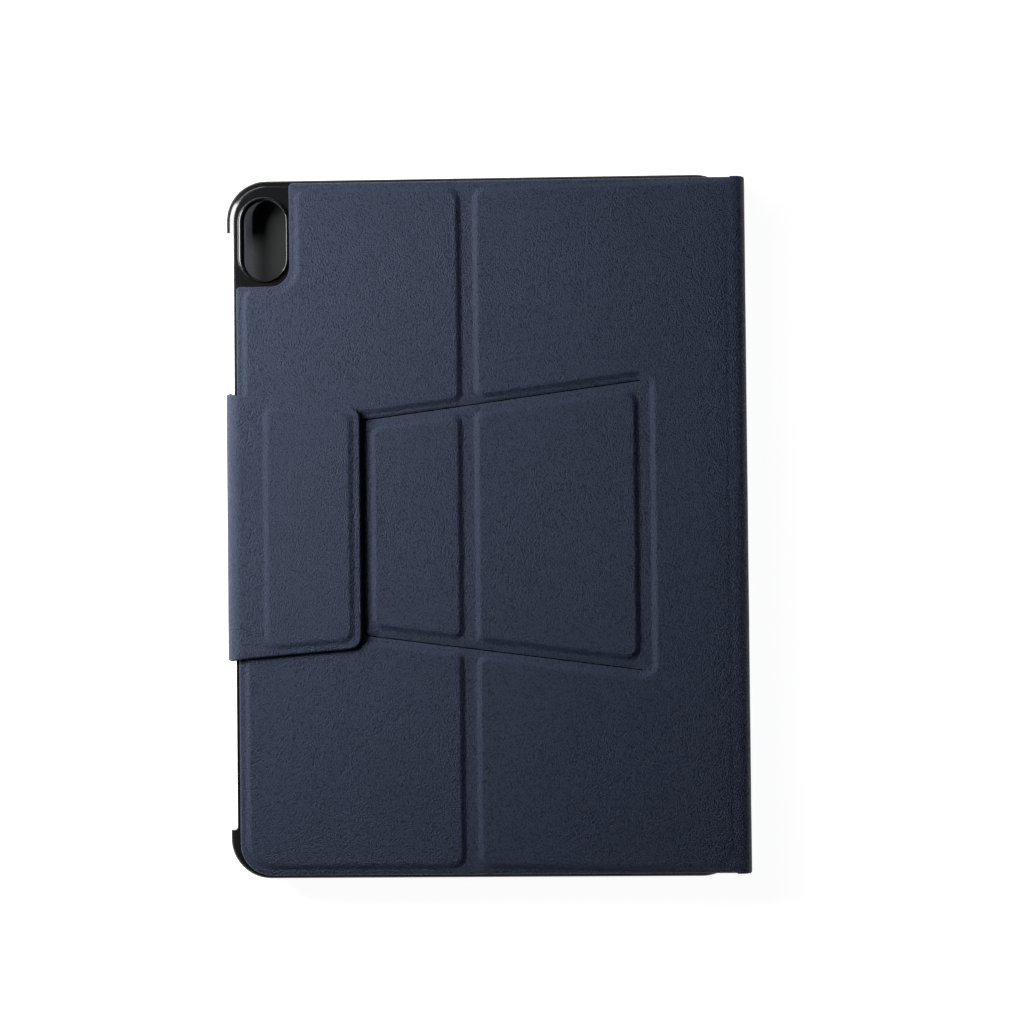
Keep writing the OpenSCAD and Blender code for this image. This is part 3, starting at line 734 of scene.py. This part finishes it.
KEYS = ["function_row_keys", "number_row_keys", "backspace_key", "tab_key", "upper_letter_keys", "backslash_key",
        "caps_lock_key", "home_row_keys", "return_key", "left_shift_key", "lower_letter_keys", "right_shift_key",
        "left_modifier_keys", "space_bar", "right_modifier_keys", "arrow_left_key", "arrow_up_key", "arrow_down_key", "arrow_right_key"]
for k in KEYS:
    bm = bmesh.new()
    for lo, hi in islands(bpy.data.objects[k]):
        x0, y0, z0 = lo
        x1, y1, z1 = hi
        small = min(x1 - x0, y1 - y0)
        P = [(x0, y0), (x1, y0), (x1, y1), (x0, y1)]
        rr = min(1.7, small * 0.22)
        prof_k = [(0.0, z0 + 0.06), (0.02, z1 - 0.75), (0.1, z1 - 0.4), (0.24, z1 - 0.18), (0.45, z1 - 0.05), (0.75, z1), (1.3, z1 - 0.02),
                  (min(2.6, small * 0.28), z1 - 0.09), (min(4.2, small * 0.42), z1 - 0.13)]
        rows = []
        for d, z in prof_k:
            rows.append([bm.verts.new((x * MM, y * MM, z * MM)) for x, y in rpoly(P, [rr] * 4, d, 60, 5)])
        for A, C in zip(rows, rows[1:]):
            n = len(A)
            for i in range(n):
                j = (i + 1) % n
                bm.faces.new((A[i], A[j], C[j], C[i]))
        bm.faces.new(rows[0][::-1])
        bm.faces.new(rows[-1])
    bmesh.ops.recalc_face_normals(bm, faces=bm.faces)
    me = bpy.data.meshes.new(k + "_cap")
    bm.to_mesh(me)
    bm.free()
    ob = make(k + "_caps", me, 50)
    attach(ob, k + "_body")
    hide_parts(k)
    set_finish(ob, "key_plastic")


# ------------------------------------------------------------------ materials
def new_mat(name, **sockets):
    m = bpy.data.materials.new(name)
    m.use_nodes = True
    nt = m.node_tree
    b = nt.nodes["Principled BSDF"]
    for k, v in sockets.items():
        b.inputs[k.replace("_", " ")].default_value = v
    tc = nt.nodes.new("ShaderNodeTexCoord")
    return m, nt, b, tc.outputs["Object"]


def tex_noise(nt, vec, scale, detail=2.0, rough=0.5):
    n = nt.nodes.new("ShaderNodeTexNoise")
    n.inputs["Scale"].default_value = scale
    n.inputs["Detail"].default_value = detail
    n.inputs["Roughness"].default_value = rough
    nt.links.new(vec, n.inputs["Vector"])
    return n.outputs["Fac"]


def tex_cells(nt, vec, scale, feature='F1', rnd=1.0):
    n = nt.nodes.new("ShaderNodeTexVoronoi")
    n.feature = feature
    n.inputs["Scale"].default_value = scale
    n.inputs["Randomness"].default_value = rnd
    nt.links.new(vec, n.inputs["Vector"])
    return n.outputs["Distance"]


def stretch(nt, vec, sc):
    n = nt.nodes.new("ShaderNodeMapping")
    n.inputs["Scale"].default_value = sc
    nt.links.new(vec, n.inputs["Vector"])
    return n.outputs["Vector"]


def mathn(nt, op, a, b):
    n = nt.nodes.new("ShaderNodeMath")
    n.operation = op
    for i, v in enumerate((a, b)):
        if isinstance(v, (int, float)):
            n.inputs[i].default_value = v
        else:
            nt.links.new(v, n.inputs[i])
    return n.outputs[0]


def ramp(nt, fac, stops):
    n = nt.nodes.new("ShaderNodeValToRGB")
    el = n.color_ramp.elements
    while len(el) < len(stops):
        el.new(0.5)
    for e, (pos_, col) in zip(el, stops):
        e.position = pos_
        e.color = (*col, 1) if len(col) == 3 else col
    nt.links.new(fac, n.inputs["Fac"])
    return n.outputs["Color"]


def grey(nt, fac, p0, v0, p1, v1):
    n = nt.nodes.new("ShaderNodeMapRange")
    for k, v in (("From Min", p0), ("To Min", v0), ("From Max", p1), ("To Max", v1)):
        n.inputs[k].default_value = v
    nt.links.new(fac, n.inputs["Value"])
    return n.outputs["Result"]


def blend_col(nt, kind, fac, a, b):
    n = nt.nodes.new("ShaderNodeMix")
    n.data_type = 'RGBA'
    n.blend_type = kind
    if isinstance(fac, (int, float)):
        n.inputs[0].default_value = fac
    else:
        nt.links.new(fac, n.inputs[0])
    for i, v in ((6, a), (7, b)):
        if isinstance(v, tuple):
            n.inputs[i].default_value = (*v, 1)
        else:
            nt.links.new(v, n.inputs[i])
    return n.outputs[2]


def bump(nt, b, height, dist_, strength=1.0, after=None):
    n = nt.nodes.new("ShaderNodeBump")
    n.inputs["Distance"].default_value = dist_
    n.inputs["Strength"].default_value = strength
    nt.links.new(height, n.inputs["Height"])
    if after is not None:
        nt.links.new(after, n.inputs["Normal"])
    nt.links.new(n.outputs["Normal"], b.inputs["Normal"])
    return n.outputs["Normal"]


MATS = {}

# fine-pebbled navy leatherette, with painted shade in the hollows of its grain
m, nt, b, oc = new_mat("leatherette", Specular_IOR_Level=0.36, Sheen_Weight=0.13, Sheen_Roughness=0.45, Sheen_Tint=(0.62, 0.7, 0.9, 1))
cells = tex_cells(nt, oc, 1950.0)
fine = tex_noise(nt, oc, 2700.0, 1.0, 0.5)
mid = tex_noise(nt, oc, 520.0, 3.0, 0.6)
broad = tex_noise(nt, oc, 22.0, 3.0, 0.5)
h = mathn(nt, 'SUBTRACT', mathn(nt, 'MULTIPLY', fine, 0.55), mathn(nt, 'MULTIPLY', cells, 0.75))
h = mathn(nt, 'ADD', h, mathn(nt, 'MULTIPLY', mid, 0.06))
# the colour darkens towards the cell edges, where the bump sinks: painted shade in the hollows of the grain
col = ramp(nt, cells, [(0.0, (0.0450, 0.0625, 0.1200)), (0.45, (0.0290, 0.0428, 0.0862)), (0.85, (0.0110, 0.0180, 0.0410))])
col = blend_col(nt, 'MULTIPLY', 1.0, col, ramp(nt, broad, [(0.3, (0.95, 0.95, 0.96)), (0.7, (1.05, 1.04, 1.03))]))
nt.links.new(col, b.inputs["Base Color"])
nt.links.new(grey(nt, mid, 0.3, 0.5, 0.7, 0.62), b.inputs["Roughness"])
bump(nt, b, h, 0.00036, 1.0)
MATS["leatherette"] = m

# glossy black moulded shell
m, nt, b, oc = new_mat("gloss_black_shell", Coat_Weight=0.35, Coat_Roughness=0.08)
n1 = tex_noise(nt, oc, 60.0, 3.0)
n2 = tex_noise(nt, oc, 3500.0, 2.0)
nt.links.new(ramp(nt, n1, [(0.3, (0.0075, 0.0080, 0.0088)), (0.7, (0.0105, 0.0108, 0.0115))]), b.inputs["Base Color"])
nt.links.new(grey(nt, n1, 0.35, 0.15, 0.65, 0.21), b.inputs["Roughness"])
bump(nt, b, n2, 0.000012, 0.4)
MATS["gloss_black_shell"] = m

# brushed microfibre
m, nt, b, oc = new_mat("microfibre_lining", Specular_IOR_Level=0.2, Sheen_Weight=0.55, Sheen_Roughness=0.6, Sheen_Tint=(0.5, 0.55, 0.68, 1))
fib = tex_noise(nt, stretch(nt, oc, (1.0, 0.35, 1.0)), 2600.0, 3.0, 0.65)
nap = tex_noise(nt, oc, 35.0, 4.0, 0.6)
col = ramp(nt, fib, [(0.3, (0.015, 0.016, 0.020)), (0.7, (0.028, 0.030, 0.036))])
col = blend_col(nt, 'MULTIPLY', 1.0, col, ramp(nt, nap, [(0.35, (0.85, 0.85, 0.86)), (0.65, (1.12, 1.12, 1.1))]))
nt.links.new(col, b.inputs["Base Color"])
nt.links.new(grey(nt, nap, 0.3, 0.82, 0.7, 0.95), b.inputs["Roughness"])
bump(nt, b, fib, 0.00008, 0.8)
MATS["microfibre_lining"] = m

# keyboard housing: spark-textured plastic
m, nt, b, oc = new_mat("keyboard_housing", Specular_IOR_Level=0.45)
n1 = tex_noise(nt, oc, 3000.0, 3.0, 0.6)
n2 = tex_noise(nt, oc, 30.0, 2.0)
nt.links.new(ramp(nt, n2, [(0.3, (0.0115, 0.0120, 0.0135)), (0.7, (0.0150, 0.0156, 0.0172))]), b.inputs["Base Color"])
nt.links.new(grey(nt, n1, 0.3, 0.42, 0.7, 0.56), b.inputs["Roughness"])
bump(nt, b, n1, 0.00004, 0.6)
MATS["keyboard_housing"] = m

# key caps
m, nt, b, oc = new_mat("key_plastic", Specular_IOR_Level=0.4, Coat_Weight=0.08, Coat_Roughness=0.35)
n1 = tex_noise(nt, oc, 4200.0, 2.0, 0.5)
n2 = tex_noise(nt, oc, 80.0, 3.0)
nt.links.new(ramp(nt, n2, [(0.3, (0.0080, 0.0085, 0.0100)), (0.7, (0.0115, 0.0120, 0.0138))]), b.inputs["Base Color"])
nt.links.new(grey(nt, n2, 0.35, 0.40, 0.65, 0.52), b.inputs["Roughness"])
bump(nt, b, n1, 0.000025, 0.6)
MATS["key_plastic"] = m

# grey board
m, nt, b, oc = new_mat("stiffener_board", Specular_IOR_Level=0.2)
n1 = tex_noise(nt, stretch(nt, oc, (1, 0.3, 1)), 900.0, 5.0, 0.7)
nt.links.new(ramp(nt, n1, [(0.3, (0.14, 0.13, 0.115)), (0.7, (0.24, 0.225, 0.20))]), b.inputs["Base Color"])
nt.links.new(grey(nt, n1, 0.3, 0.8, 0.7, 0.95), b.inputs["Roughness"])
bump(nt, b, n1, 0.0001, 0.6)
MATS["stiffener_board"] = m

# circuit board
m, nt, b, oc = new_mat("circuit_board", Specular_IOR_Level=0.5, Coat_Weight=0.3, Coat_Roughness=0.2)
c1 = tex_cells(nt, stretch(nt, oc, (1, 2.2, 1)), 160.0, 'DISTANCE_TO_EDGE', 0.6)
n1 = tex_noise(nt, oc, 300.0, 2.0)
nt.links.new(ramp(nt, c1, [(0.02, (0.030, 0.105, 0.040)), (0.08, (0.010, 0.055, 0.020)), (1.0, (0.008, 0.045, 0.017))]), b.inputs["Base Color"])
nt.links.new(grey(nt, n1, 0.3, 0.3, 0.7, 0.45), b.inputs["Roughness"])
bump(nt, b, c1, 0.00003, 0.5)
MATS["circuit_board"] = m

# rubber membrane
m, nt, b, oc = new_mat("membrane_sheet", Specular_IOR_Level=0.35)
n1 = tex_noise(nt, oc, 500.0, 3.0)
nt.links.new(ramp(nt, n1, [(0.3, (0.075, 0.080, 0.090)), (0.7, (0.12, 0.125, 0.135))]), b.inputs["Base Color"])
nt.links.new(grey(nt, n1, 0.3, 0.5, 0.7, 0.65), b.inputs["Roughness"])
bump(nt, b, n1, 0.00003, 0.5)
MATS["membrane_sheet"] = m

# foil-wrapped cells
m, nt, b, oc = new_mat("battery_foil", Metallic=1.0)
c1 = tex_cells(nt, oc, 220.0, 'F1')
n1 = tex_noise(nt, oc, 700.0, 3.0)
nt.links.new(ramp(nt, n1, [(0.3, (0.42, 0.43, 0.44)), (0.7, (0.55, 0.56, 0.57))]), b.inputs["Base Color"])
nt.links.new(grey(nt, n1, 0.3, 0.32, 0.7, 0.45), b.inputs["Roughness"])
bump(nt, b, c1, 0.0001, 0.4)
MATS["battery_foil"] = m

# screws
m, nt, b, oc = new_mat("bare_steel", Metallic=1.0)
n1 = tex_noise(nt, stretch(nt, oc, (1, 1, 6)), 2500.0, 3.0)
nt.links.new(ramp(nt, n1, [(0.3, (0.32, 0.32, 0.33)), (0.7, (0.45, 0.45, 0.46))]), b.inputs["Base Color"])
nt.links.new(grey(nt, n1, 0.3, 0.25, 0.7, 0.4), b.inputs["Roughness"])
bump(nt, b, n1, 0.00001, 0.4)
MATS["bare_steel"] = m

# nickel-plated magnets
m, nt, b, oc = new_mat("plated_magnet", Metallic=1.0)
n1 = tex_noise(nt, oc, 1200.0, 3.0)
nt.links.new(ramp(nt, n1, [(0.3, (0.56, 0.54, 0.50)), (0.7, (0.68, 0.66, 0.62))]), b.inputs["Base Color"])
nt.links.new(grey(nt, n1, 0.3, 0.14, 0.7, 0.25), b.inputs["Roughness"])
bump(nt, b, n1, 0.000008, 0.3)
MATS["plated_magnet"] = m

# light pipes
m, nt, b, oc = new_mat("light_pipe", Specular_IOR_Level=0.5, Transmission_Weight=0.35, IOR=1.49)
n1 = tex_noise(nt, oc, 900.0, 2.0)
nt.links.new(ramp(nt, n1, [(0.3, (0.62, 0.64, 0.66)), (0.7, (0.74, 0.76, 0.78))]), b.inputs["Base Color"])
nt.links.new(grey(nt, n1, 0.3, 0.3, 0.7, 0.42), b.inputs["Roughness"])
bump(nt, b, n1, 0.00001, 0.3)
MATS["light_pipe"] = m

node_slot = {q["node"]: q["material_slot"] for q in frame["record"]["subparts"]}
for ob in [o for o in bpy.data.objects if o.type == 'MESH']:
    sl = ob.get("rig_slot") or node_slot.get(ob.name)
    if sl in MATS:
        if len(ob.material_slots) == 0:
            ob.data.materials.append(MATS[sl])
        else:
            for q in ob.material_slots:
                q.material = MATS[sl]

# ------------------------------------------------------------------ floor and light
def stage(name, rows):
    bm = bmesh.new()
    V = [[bm.verts.new((r * math.cos(2 * math.pi * i / 96), r * math.sin(2 * math.pi * i / 96), z)) for i in range(96)] for r, z in rows]
    for A, C in zip(V, V[1:]):
        for i in range(96):
            j = (i + 1) % 96
            bm.faces.new((A[i], A[j], C[j], C[i]))
    if name == "floor":
        bm.faces.new(V[0][::-1])
    me = bpy.data.meshes.new(name)
    bm.to_mesh(me)
    bm.free()
    ob = bpy.data.objects.new(name, me)
    scene.collection.objects.link(ob)
    me.materials.append(floor_mat)
    ob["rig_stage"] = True
    return ob


floor_mat, nt, b, oc = new_mat("floor", Base_Color=(0.86, 0.86, 0.86, 1), Roughness=0.75, Specular_IOR_Level=0.2, Emission_Color=(1, 1, 1, 1), Emission_Strength=0.94)
stage("floor", [(1.0, -0.0004), (5.0, -0.0004)])
sweep = stage("backdrop", [(5.0, -0.0004), (5.0, 3.5)])
sweep.visible_diffuse = False      # it stands behind low views and adds no light to the case
sweep.visible_glossy = False

world = bpy.data.worlds.new("studio")
scene.world = world
world.use_nodes = True
bg = world.node_tree.nodes["Background"]
bg.inputs["Color"].default_value = (0.95, 0.97, 1.0, 1)
bg.inputs["Strength"].default_value = 0.015


def area(name, at, to, size, watts, col=(1, 1, 1), high=None):
    d = bpy.data.lights.new(name, 'AREA')
    d.shape, d.size, d.size_y, d.energy, d.color = 'RECTANGLE', size, high or size, watts, col
    o = bpy.data.objects.new(name, d)
    scene.collection.objects.link(o)
    o.location = at
    o.rotation_euler = (Vector(to) - Vector(at)).to_track_quat('-Z', 'Y').to_euler()
    return o


area("key", (-0.17, -0.36, 0.245), (-0.06, -0.09, 0), 0.22, 2.75)
area("strip", (-0.79, -0.64, 0.9), (-0.12, -0.08, 0.01), 0.9, 1.5, high=0.1)
area("fill", (0.5, 0.9, 1.1), (0, 0, 0), 0.9, 0.2)
scene.view_settings.view_transform = 'Standard'
scene.view_settings.look = 'None'
scene.view_settings.exposure = 0.0
scene.view_settings.gamma = 1.0


def plain(v):
    if isinstance(v, dict):
        return {str(k): plain(q) for k, q in v.items()}
    if isinstance(v, (int, float, str)):
        return v
    return [plain(q) for q in v]


{"cad_box": plain(CAD_BOX), "visual_box": plain(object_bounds())}
